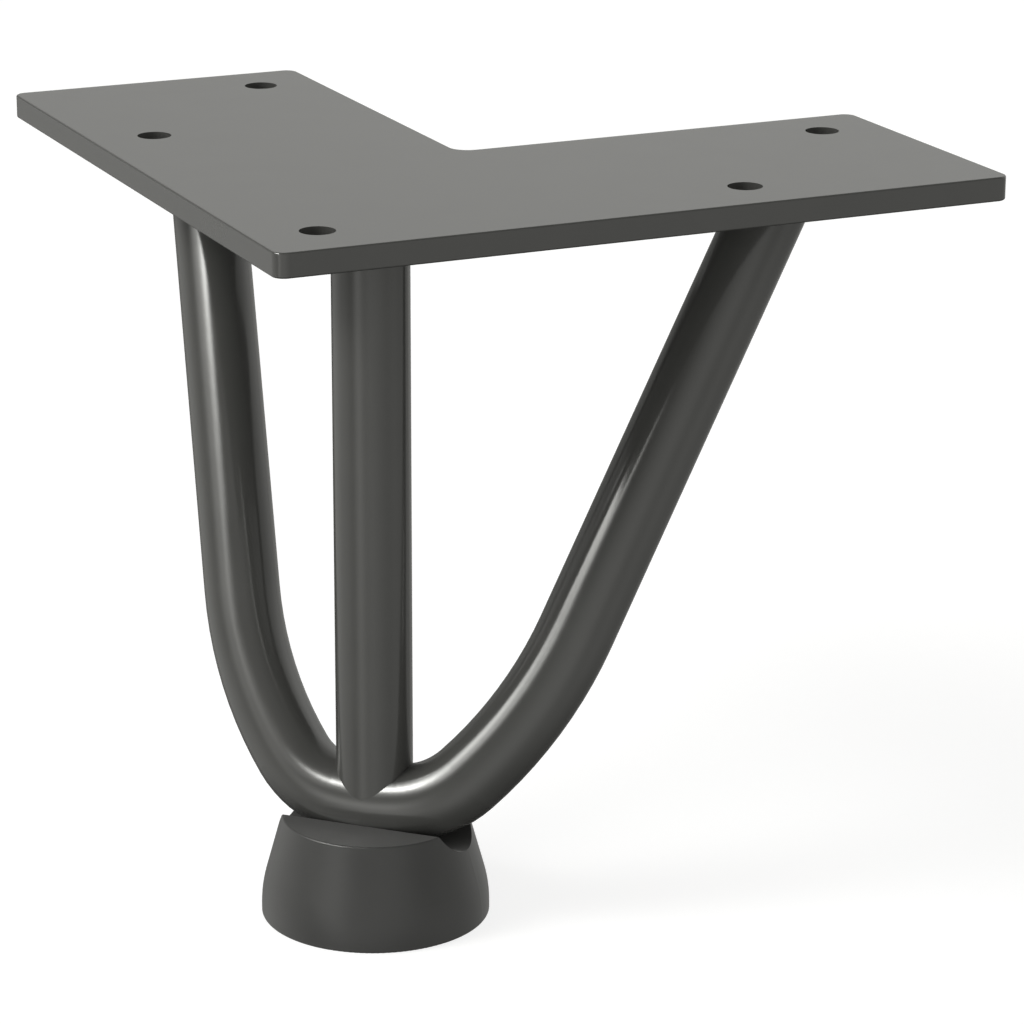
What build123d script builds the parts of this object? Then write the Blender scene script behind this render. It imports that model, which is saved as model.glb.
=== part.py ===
from build123d import *
import os
from math import acos, atan2, cos, degrees, hypot, radians, sin, sqrt

# Hairpin table leg: a bent rod and an upright rod, welded under an L-shaped plate, on a grooved foot.
# Millimetres, +Z up. The origin lies on the plate's top face, straight above the foot's centre.
# +Y runs from the plate's outer corner into the angle between its two arms, and the leg is
# the same on both sides of the YZ plane.

# Plate
arm_length = 120
arm_width = 50
plate_thickness = 3.8
corner_radius = 2
inner_corner_radius = 3
plate_edge_radius = 0.3
hole_diameter = 5.4
hole_outer_inset = 10.5
hole_inner_inset = 10
hole_end_inset = 10.7

# Rods
rod_diameter = 12
axis_inset = 24.5
leg_inset = 23.5
crown_lead = 0.35
crown_radius = 36
crown_angle = 9
shoulder_radius = 15
shoulder_angle = 39.5
shank_radius = 64
saddle_margin = 0.05
weld_size = 2.5
weld_toe = 0.3

# Foot
overall_height = 113.5
foot_height = 16.1
foot_top_diameter = 28.9
foot_base_diameter = 35.6
foot_band_height = 4
foot_shoulder_radius = 20
foot_edge_radius = 0.3
groove_depth = 3.9
groove_clearance = 0.1

# Heights, from the plate's top face down
rod_radius = rod_diameter / 2
underside_z = -plate_thickness
floor_z = -overall_height
foot_top_z = floor_z + foot_height
crown_z = foot_top_z - groove_depth + rod_radius

# The plate's own axes start at its outer corner and follow its two arms.
# The upright rod and the foot stand at the same distance from both outer edges.
corner_to_axis = axis_inset * sqrt(2)
plate_plane = Plane(origin=(0, -corner_to_axis, 0), x_dir=(1, 1, 0), z_dir=(0, 0, 1))
underside = Plane.XY.offset(underside_z)


# On each arm, two screw holes and the end of the bent rod stand in one row, parallel to the plane
# of symmetry. Their distance along the arm is their inset from its outer edge plus row_lead.
row_lead = arm_length - hole_end_inset - (arm_width - hole_inner_inset)


def both_arms(inset):
    """The place in the row on each arm, from the plate's outer corner."""
    return [(row_lead + inset, inset), (inset, row_lead + inset)]


# Five screw holes: one at the corner, and a front and a rear one on each arm
hole_centres = [
    (hole_outer_inset, hole_outer_inset),
    *both_arms(hole_outer_inset),
    *both_arms(arm_width - hole_inner_inset),
]

# The bent rod lies in one plane, which leans from the foot back to where its legs meet the plate.
# Its crown stands a little in front of the upright rod.
leg_top = plate_plane.from_local_coords((row_lead + leg_inset, leg_inset, underside_z))
hairpin_plane = Plane(
    origin=(0, -crown_lead, crown_z),
    x_dir=(1, 0, 0),
    z_dir=(0, crown_z - leg_top.Z, leg_top.Y + crown_lead),
)


def next_centre(centre, radius, next_radius, turned):
    """Centre of the arc that follows another one smoothly, once the rod has turned so many degrees."""
    step = radius - next_radius
    return centre + Vector(step * sin(radians(turned)), -step * cos(radians(turned)))


# Each half is almost flat over the foot, turns tightly at the foot's rim, and then bends widely
# until it points straight at the leg's top: the leg is the tangent from there to the wide bend.
turned = crown_angle + shoulder_angle
crown_centre = Vector(0, crown_radius)
shoulder_centre = next_centre(crown_centre, crown_radius, shoulder_radius, crown_angle)
shank_centre = next_centre(shoulder_centre, shoulder_radius, shank_radius, turned)
reach = hairpin_plane.to_local_coords(leg_top) - shank_centre
splay = degrees(acos(shank_radius / hypot(reach.X, reach.Y)) - atan2(reach.Y, reach.X))
shank_angle = 90 - turned - splay

# Plate: flat bar or sheet cut to an L, with every corner rounded and its edges broken
with BuildPart() as mounting_plate:
    with BuildSketch(plate_plane) as plate_outline:
        RectangleRounded(arm_length, arm_width, corner_radius, align=Align.MIN)
        RectangleRounded(arm_width, arm_length, corner_radius, align=Align.MIN)
        inner_corner = plate_outline.vertices().sort_by_distance((arm_width, arm_width))[0]
        fillet(inner_corner, inner_corner_radius)
    extrude(amount=-plate_thickness)
    fillet(mounting_plate.faces().filter_by(Axis.Z).edges(), plate_edge_radius)
    with Locations(plate_plane):
        with Locations(*hole_centres):
            Hole(hole_diameter / 2)

# Hairpin rod: one round bar, bent in its leaning plane and cut flush under the plate
with BuildPart() as hairpin_rod:
    with BuildLine(hairpin_plane) as hairpin_line:
        crown = JernArc((0, 0), (1, 0), crown_radius, crown_angle)
        shoulder = JernArc(crown @ 1, crown % 1, shoulder_radius, shoulder_angle)
        shank = JernArc(shoulder @ 1, shoulder % 1, shank_radius, shank_angle)
        leg = PolarLine(shank @ 1, overall_height, direction=shank % 1)
        mirror(about=Plane.YZ)
    with BuildSketch(Plane(hairpin_line.wire() ^ 0)):
        Circle(rod_radius)
    sweep(path=hairpin_line.wire())
    split(bisect_by=underside, keep=Keep.BOTTOM)

# Centre rod: upright, its lower end saddle-cut to sit on the crown of the bend.
# It is a hair thinner than the bent rod, so that the saddle's horns stay on the crown.
centre_rod_radius = rod_radius - saddle_margin
with BuildPart() as centre_rod:
    with BuildSketch(Plane.XY.offset(crown_z)):
        Circle(centre_rod_radius)
    extrude(amount=underside_z - crown_z)
    add(hairpin_rod.part, mode=Mode.SUBTRACT)

# Foot: turned profile with a round groove along its top, in which the crown of the bend rests
foot_base_radius = foot_base_diameter / 2
foot_top_radius = foot_top_diameter / 2
with BuildPart() as foot:
    with BuildSketch(Plane.XZ) as foot_profile:
        with BuildLine():
            Polyline(
                (0, floor_z),
                (foot_base_radius, floor_z),
                (foot_base_radius, floor_z + foot_band_height),
                (foot_top_radius, foot_top_z),
                (0, foot_top_z),
                close=True,
            )
        make_face()
        rim = foot_profile.vertices().filter_by_position(Axis.X, foot_top_radius, foot_base_radius)
        base_edge, shoulder, top_edge = rim.sort_by(Axis.Y)
        fillet([base_edge, top_edge], foot_edge_radius)
        fillet(foot_profile.vertices().sort_by_distance(shoulder)[0], foot_shoulder_radius)
    revolve(axis=Axis.Z)
    with BuildSketch(Plane.YZ):
        with Locations((-crown_lead, crown_z + groove_clearance)):
            Circle(rod_radius + groove_clearance)
    extrude(amount=foot_base_radius, both=True, mode=Mode.SUBTRACT)


def weld_bead(top, axis, radius, rod):
    """Fillet weld round a rod's end: top is its centre under the plate, axis its unit direction upwards."""
    lean = Vector(axis.X, axis.Y) if hypot(axis.X, axis.Y) > 0 else Vector(1, 0)
    plate_side = Plane(origin=top, x_dir=lean, z_dir=(0, 0, 1))
    rod_side = Plane(origin=top - axis * (weld_size / axis.Z), x_dir=lean, z_dir=(0, 0, 1))
    with BuildPart() as bead:
        with BuildSketch(plate_side):
            Ellipse(radius / axis.Z + weld_size, radius + weld_size)
        with BuildSketch(rod_side):
            Ellipse(radius / axis.Z + weld_toe, radius + weld_toe)
        loft()
        add(rod, mode=Mode.SUBTRACT)
    return bead


weld_right = weld_bead(leg_top, leg % 1, rod_radius, hairpin_rod.part)
weld_centre = weld_bead(Vector(0, 0, underside_z), Vector(0, 0, 1), centre_rod_radius, centre_rod.part)
with BuildPart() as weld_left:
    mirror(weld_right.part, about=Plane.YZ)

pieces = {
    "mounting_plate": mounting_plate,
    "hairpin_rod": hairpin_rod,
    "centre_rod": centre_rod,
    "foot": foot,
    "weld_left": weld_left,
    "weld_right": weld_right,
    "weld_centre": weld_centre,
}
os.makedirs("parts", exist_ok=True)
for name, piece in pieces.items():
    piece.part.label = name
    export_step(piece.part, f"parts/{name}.step")
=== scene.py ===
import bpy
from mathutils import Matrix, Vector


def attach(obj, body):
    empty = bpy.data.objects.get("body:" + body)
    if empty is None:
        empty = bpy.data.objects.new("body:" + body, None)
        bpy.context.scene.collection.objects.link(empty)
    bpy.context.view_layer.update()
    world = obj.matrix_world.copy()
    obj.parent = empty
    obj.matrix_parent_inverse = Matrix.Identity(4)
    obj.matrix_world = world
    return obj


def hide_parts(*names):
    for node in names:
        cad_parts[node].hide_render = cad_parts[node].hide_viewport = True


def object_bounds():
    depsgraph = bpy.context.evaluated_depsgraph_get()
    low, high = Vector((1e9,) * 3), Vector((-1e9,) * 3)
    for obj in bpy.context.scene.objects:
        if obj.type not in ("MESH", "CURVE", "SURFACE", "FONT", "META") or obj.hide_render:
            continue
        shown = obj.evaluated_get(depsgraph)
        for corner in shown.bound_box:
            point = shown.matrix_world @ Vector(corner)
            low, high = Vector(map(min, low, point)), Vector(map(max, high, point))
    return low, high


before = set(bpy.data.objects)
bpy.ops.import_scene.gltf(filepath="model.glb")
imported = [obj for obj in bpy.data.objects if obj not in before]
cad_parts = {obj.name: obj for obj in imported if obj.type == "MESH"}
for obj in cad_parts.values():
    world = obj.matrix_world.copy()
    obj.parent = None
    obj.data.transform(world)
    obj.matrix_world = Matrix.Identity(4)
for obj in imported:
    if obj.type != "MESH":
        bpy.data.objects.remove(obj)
cad_box = [list(corner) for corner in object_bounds()]

import math

import bpy
from mathutils import Matrix, Vector

# Hairpin table leg: the steel parts wear a dark semi-gloss powder coat and the foot is matt plastic.
# Metres. The origin lies on the plate's top face, +Z points up and +Y points into the plate's angle.
MM = 0.001
UP = Vector((0, 0, 1))
WHITE = (1, 1, 1, 1)

# Camera, as solved from the photograph's plate edges and screw holes
IMAGE_SIDE = 1024
FOCAL_PIXELS = 3923.6
SENSOR_WIDTH = 36.0
CAMERA_AZIMUTH = 20.323
CAMERA_ELEVATION = 17.871
CAMERA_ROLL = 0.183
CAMERA_PLACE = Vector((216.70, -524.15, 134.44)) * MM
CAMERA_CLIP_START = 10 * MM

# Soft lights of the studio, far away: azimuth from straight in front towards +X and elevation, in
# degrees, then sharpness, where a higher number is a smaller light, and brightness.
SOFT_LIGHTS = [
    (-57, 38, 80, 11.5),
    (-40, 37, 100, 1.8),
    (-42, 22, 40, 1.3),
    (-60, 48, 20, 1.2),
    (-21, 3, 50, 2.2),
    (-15, -16, 40, 1.0),
    (-115, -18, 20, 0.27),
    (-90, -14, 10, 0.6),
    (-55, -14, 12, 0.5),
    (15, -14, 10, 0.8),
    (50, -14, 10, 0.42),
    (90, -14, 10, 0.62),
    (130, -14, 10, 0.35),
    (172, -12, 12, 0.35),
    (-157, 28, 8, 0.80),
    (150, 25, 10, 1.15),
    (30, 30, 8, 0.6),
    (50, 8, 16, 0.45),
    (105, 25, 12, 0.35),
    (-95, 15, 12, 0.3),
]
LIGHT_COLOUR = (1, 1, 0.967)
BACKDROP_BRIGHTNESS = 1.0

# Softboxes close to the object, each brightest in its middle: azimuth and elevation as above,
# distance from their aim, width and height, brightness in the middle, and whether they give the
# streaks on the rods or the shading.
SOFTBOX_AIM = Vector((0, 10, -40)) * MM
SOFTBOX_FADE = 2.5
SOFTBOXES = [
    ("streak_core", -36.6, 44.4, 640 * MM, 340 * MM, 200 * MM, 36.0, "streaks"),
    ("streak_near", -46.6, 44.4, 380 * MM, 340 * MM, 200 * MM, 12.0, "streaks"),
    ("streak_low", -32.0, 32.0, 500 * MM, 200 * MM, 250 * MM, 3.5, "streaks"),
    ("shading", -52.0, 41.0, 640 * MM, 450 * MM, 280 * MM, 11.0, "shading"),
]

# Floor: pale, and bright enough by itself to stay even round the object
FLOOR_SIZE = 8.0
FLOOR_COLOUR = (0.35, 0.35, 0.35, 1)
FLOOR_GLOW = 0.79

# Both materials are a little uneven in colour and gloss, in soft patches.
MOTTLE_SIZE = 9 * MM
MOTTLE_DETAIL = 4
MOTTLE_RANGE = (0.3, 0.7)
RELIEF_DETAIL = 2

# Powder coat on the steel
COAT_COLOUR = (0.071, 0.071, 0.068)
COAT_COLOUR_SPREAD = 0.03
COAT_GLOSS = (0.14, 0.18)
COAT_SHEEN = 0.0
ORANGE_PEEL_SIZE = 1.3 * MM
ORANGE_PEEL_HEIGHT = 0.006 * MM

# Moulded plastic of the foot
FOOT_COLOUR = (0.034, 0.034, 0.033)
FOOT_COLOUR_SPREAD = 0.08
FOOT_GLOSS = (0.36, 0.42)
FOOT_SHEEN = 0.25
GRAIN_SIZE = 0.3 * MM
GRAIN_HEIGHT = 0.008 * MM

# Fillet welds under the plate, one round each end of the bent rod and one round the upright rod.
# The ripples bow along the bead, by RIPPLE_BOW radians of their own wave in its middle.
UNDERSIDE = -3.8 * MM
ROD_RADIUS = 6 * MM
LEG_TOP = Vector((49.0 * MM, 47.59 * MM, UNDERSIDE))
LEG_AXIS = Vector((0.27445, 0.44626, 0.85178))
WELD_SIZE = 2.4 * MM
WELD_SINK = 0.15 * MM
WELD_CROWN = 0.35 * MM
WELD_SECTION_STEPS = 10
RIPPLE_PITCH = 1.1 * MM
RIPPLE_HEIGHT = 0.16 * MM
RIPPLE_BOW = 2.2
STEPS_PER_RIPPLE = 8


def add(data, name):
    """Put a new object with this data into the scene."""
    made = bpy.data.objects.new(name, data)
    bpy.context.scene.collection.objects.link(made)
    return made


class Graph:
    """Short way to add shader nodes. An input is given by name, or by number if two share one."""

    def __init__(self, owner):
        owner.use_nodes = True
        self.tree = owner.node_tree

    def node(self, kind, inputs, **fields):
        """New node with these fields and these inputs."""
        made = self.tree.nodes.new("ShaderNode" + kind)
        for field, value in fields.items():
            setattr(made, field, value)
        for key, value in inputs.items():
            self.fill(made.inputs[key], value)
        return made

    def fill(self, socket, value):
        """Link a node's output to the socket, or set the socket to a plain value."""
        if isinstance(value, bpy.types.NodeSocket):
            self.tree.links.new(value, socket)
        else:
            socket.default_value = value

    def math(self, operation, *values):
        """Result of one sum on numbers and outputs."""
        made = self.tree.nodes.new("ShaderNodeMath")
        made.operation = operation
        for socket, value in zip(made.inputs, values):
            self.fill(socket, value)
        return made.outputs[0]


def towards(azimuth, elevation):
    """Unit direction: azimuth from straight in front towards +X, then elevation above the horizon."""
    a, e = math.radians(azimuth), math.radians(elevation)
    return Vector((math.sin(a) * math.cos(e), -math.cos(a) * math.cos(e), math.sin(e)))


def camera():
    """Camera at the photograph's angle."""
    lens = bpy.data.cameras.new("camera")
    lens.sensor_width = SENSOR_WIDTH
    lens.lens = FOCAL_PIXELS * SENSOR_WIDTH / IMAGE_SIDE
    lens.clip_start = CAMERA_CLIP_START
    made = add(lens, "camera")
    turn = Matrix.Rotation(math.radians(CAMERA_AZIMUTH), 4, "Z")
    tilt = Matrix.Rotation(math.radians(90 - CAMERA_ELEVATION), 4, "X")
    roll = Matrix.Rotation(math.radians(CAMERA_ROLL), 4, "Z")
    made.matrix_world = Matrix.Translation(CAMERA_PLACE) @ turn @ tilt @ roll
    bpy.context.scene.camera = made


def studio():
    """Soft lights all round, and an even white backdrop where the camera sees past the floor."""
    world = bpy.data.worlds.new("studio")
    bpy.context.scene.world = world
    graph = Graph(world)
    direction = graph.node("TexCoord", {}).outputs["Generated"]
    total = 0.0
    for azimuth, elevation, sharpness, brightness in SOFT_LIGHTS:
        middle = towards(azimuth, elevation)
        facing = graph.node("VectorMath", {0: direction, 1: middle}, operation="DOT_PRODUCT")
        fall = graph.math("MULTIPLY_ADD", facing.outputs["Value"], sharpness, -sharpness)
        total = graph.math("MULTIPLY_ADD", graph.math("EXPONENT", fall), brightness, total)
    lights = graph.node("Background", {"Strength": total, "Color": (*LIGHT_COLOUR, 1)})
    backdrop = graph.node("Background", {"Strength": BACKDROP_BRIGHTNESS, "Color": WHITE})
    seen = graph.node("LightPath", {}).outputs["Is Camera Ray"]
    mixed = graph.node("MixShader", {0: seen, 1: lights.outputs[0], 2: backdrop.outputs[0]})
    graph.fill(graph.tree.nodes["World Output"].inputs["Surface"], mixed.outputs[0])


def softbox(name, azimuth, elevation, distance, width, height, brightness, purpose):
    """Rectangular lamp that faces its aim and fades evenly towards its rim."""
    lamp = bpy.data.lights.new(name, "AREA")
    lamp.shape = "RECTANGLE"
    lamp.size = width
    lamp.size_y = height
    lamp.color = LIGHT_COLOUR
    # With this energy, the strength in the lamp's nodes is its brightness.
    lamp.energy = math.pi * width * height

    # The place on the lamp runs from 0 to 1 both ways.
    graph = Graph(lamp)
    place = graph.node("NewGeometry", {}).outputs["Parametric"]
    centred = graph.node("VectorMath", {0: place, 1: (0.5, 0.5, 0)}, operation="SUBTRACT").outputs[0]
    square = graph.node("VectorMath", {0: centred, 1: centred}, operation="DOT_PRODUCT")
    fall = graph.math("MULTIPLY", square.outputs["Value"], -2 * SOFTBOX_FADE ** 2)
    strength = graph.math("MULTIPLY", graph.math("EXPONENT", fall), brightness)
    graph.fill(graph.tree.nodes["Emission"].inputs["Strength"], strength)

    made = add(lamp, name)
    out = towards(azimuth, elevation)
    turn = out.to_track_quat("Z", "Y").to_matrix().to_4x4()
    made.matrix_world = Matrix.Translation(SOFTBOX_AIM + out * distance) @ turn
    made.visible_camera = False
    made.visible_diffuse = purpose == "shading"
    made.visible_glossy = purpose == "streaks"


def floor():
    """Plain pale floor under the foot."""
    half = FLOOR_SIZE / 2
    low = cad_box[0][2]
    corners = [(-half, -half, low), (half, -half, low), (half, half, low), (-half, half, low)]
    mesh = bpy.data.meshes.new("floor")
    mesh.from_pydata(corners, [], [(0, 1, 2, 3)])
    finish = bpy.data.materials.new("floor")
    shader = Graph(finish).tree.nodes["Principled BSDF"]
    shader.inputs["Base Color"].default_value = FLOOR_COLOUR
    shader.inputs["Roughness"].default_value = 1.0
    shader.inputs["Specular IOR Level"].default_value = 0.0
    shader.inputs["Emission Color"].default_value = WHITE
    shader.inputs["Emission Strength"].default_value = FLOOR_GLOW
    mesh.materials.append(finish)
    made = add(mesh, "floor")
    made.visible_diffuse = False
    made.visible_glossy = False


def surface(name, colour, colour_spread, gloss, sheen, relief_size, relief_height):
    """Coat or plastic with a fine relief, and with a colour and gloss that vary a little."""
    made = bpy.data.materials.new(name)
    graph = Graph(made)
    shader = graph.tree.nodes["Principled BSDF"]
    shader.inputs["Sheen Weight"].default_value = sheen

    place = graph.node("TexCoord", {}).outputs["Object"]
    patches = {"Vector": place, "Scale": 1 / MOTTLE_SIZE, "Detail": MOTTLE_DETAIL}
    mottle = graph.node("TexNoise", patches).outputs["Fac"]
    tint = graph.node("ValToRGB", {"Fac": mottle})
    shares = (1 - colour_spread, 1 + colour_spread)
    for stop, position, share in zip(tint.color_ramp.elements, MOTTLE_RANGE, shares):
        stop.position = position
        stop.color = [channel * share for channel in colour] + [1]
    graph.fill(shader.inputs["Base Color"], tint.outputs["Color"])

    uneven = graph.node("MapRange", {
        "Value": mottle,
        "From Min": MOTTLE_RANGE[0],
        "From Max": MOTTLE_RANGE[1],
        "To Min": gloss[0],
        "To Max": gloss[1],
    })
    graph.fill(shader.inputs["Roughness"], uneven.outputs["Result"])

    grain = {"Vector": place, "Scale": 1 / relief_size, "Detail": RELIEF_DETAIL}
    relief = graph.node("TexNoise", grain).outputs["Fac"]
    bump = graph.node("Bump", {"Distance": relief_height, "Height": relief})
    graph.fill(shader.inputs["Normal"], bump.outputs["Normal"])
    return made


def weld_section(top, axis, outward, travel):
    """Points round one section of a weld: its sunk root, then its face from plate to rod."""
    points = [top + outward * (ROD_RADIUS - WELD_SINK) + UP * WELD_SINK]
    for part in range(WELD_SECTION_STEPS + 1):
        share = part / WELD_SECTION_STEPS
        swell = math.sin(math.pi * share)
        ripple = RIPPLE_HEIGHT * abs(math.sin((travel + RIPPLE_BOW * swell) / 2)) * swell
        lift = (WELD_CROWN * swell + ripple) / math.sqrt(2)
        reach = ROD_RADIUS + WELD_SIZE * (1 - share) + lift
        drop = WELD_SIZE * share / axis.z
        points.append(top + outward * reach - axis * drop - UP * lift)
    return points


def weld(name, top, axis, material):
    """Fillet weld with the ripples of its passes, as a closed ring round a rod's upper end."""
    lean = Vector((axis.x, axis.y, 0))
    across = lean.normalized() if lean.length > 0 else Vector((1, 0, 0))
    along = UP.cross(across)
    ripples = round(2 * math.pi * (ROD_RADIUS + WELD_SIZE / 2) / RIPPLE_PITCH)
    steps = ripples * STEPS_PER_RIPPLE
    points = []
    for step in range(steps):
        angle = 2 * math.pi * step / steps
        outward = across * (math.cos(angle) / axis.z) + along * math.sin(angle)
        points += weld_section(top, axis, outward, ripples * angle)

    around = len(points) // steps
    faces = []
    for step in range(steps):
        here = step * around
        there = (step + 1) % steps * around
        for part in range(around):
            after = (part + 1) % around
            faces.append((here + part, here + after, there + after, there + part))
    mesh = bpy.data.meshes.new(name)
    mesh.from_pydata(points, [], faces)
    mesh.polygons.foreach_set("use_smooth", [True] * len(faces))
    mesh.materials.append(material)
    return add(mesh, name)


bpy.context.scene.view_settings.view_transform = "Standard"
camera()
studio()
for box in SOFTBOXES:
    softbox(*box)
floor()

coat = surface("coated_steel", COAT_COLOUR, COAT_COLOUR_SPREAD, COAT_GLOSS, COAT_SHEEN,
               ORANGE_PEEL_SIZE, ORANGE_PEEL_HEIGHT)
plastic = surface("foot_plastic", FOOT_COLOUR, FOOT_COLOUR_SPREAD, FOOT_GLOSS, FOOT_SHEEN,
                  GRAIN_SIZE, GRAIN_HEIGHT)
for name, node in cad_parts.items():
    node.data.materials.clear()
    node.data.materials.append(plastic if name == "foot" else coat)

mirrored = Vector((-1, 1, 1))
for node, top, axis in (
    ("weld_right", LEG_TOP, LEG_AXIS),
    ("weld_left", LEG_TOP * mirrored, LEG_AXIS * mirrored),
    ("weld_centre", UP * UNDERSIDE, UP),
):
    bead = weld(node + "_bead", top, axis, coat)
    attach(bead, "root")
    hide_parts(node)
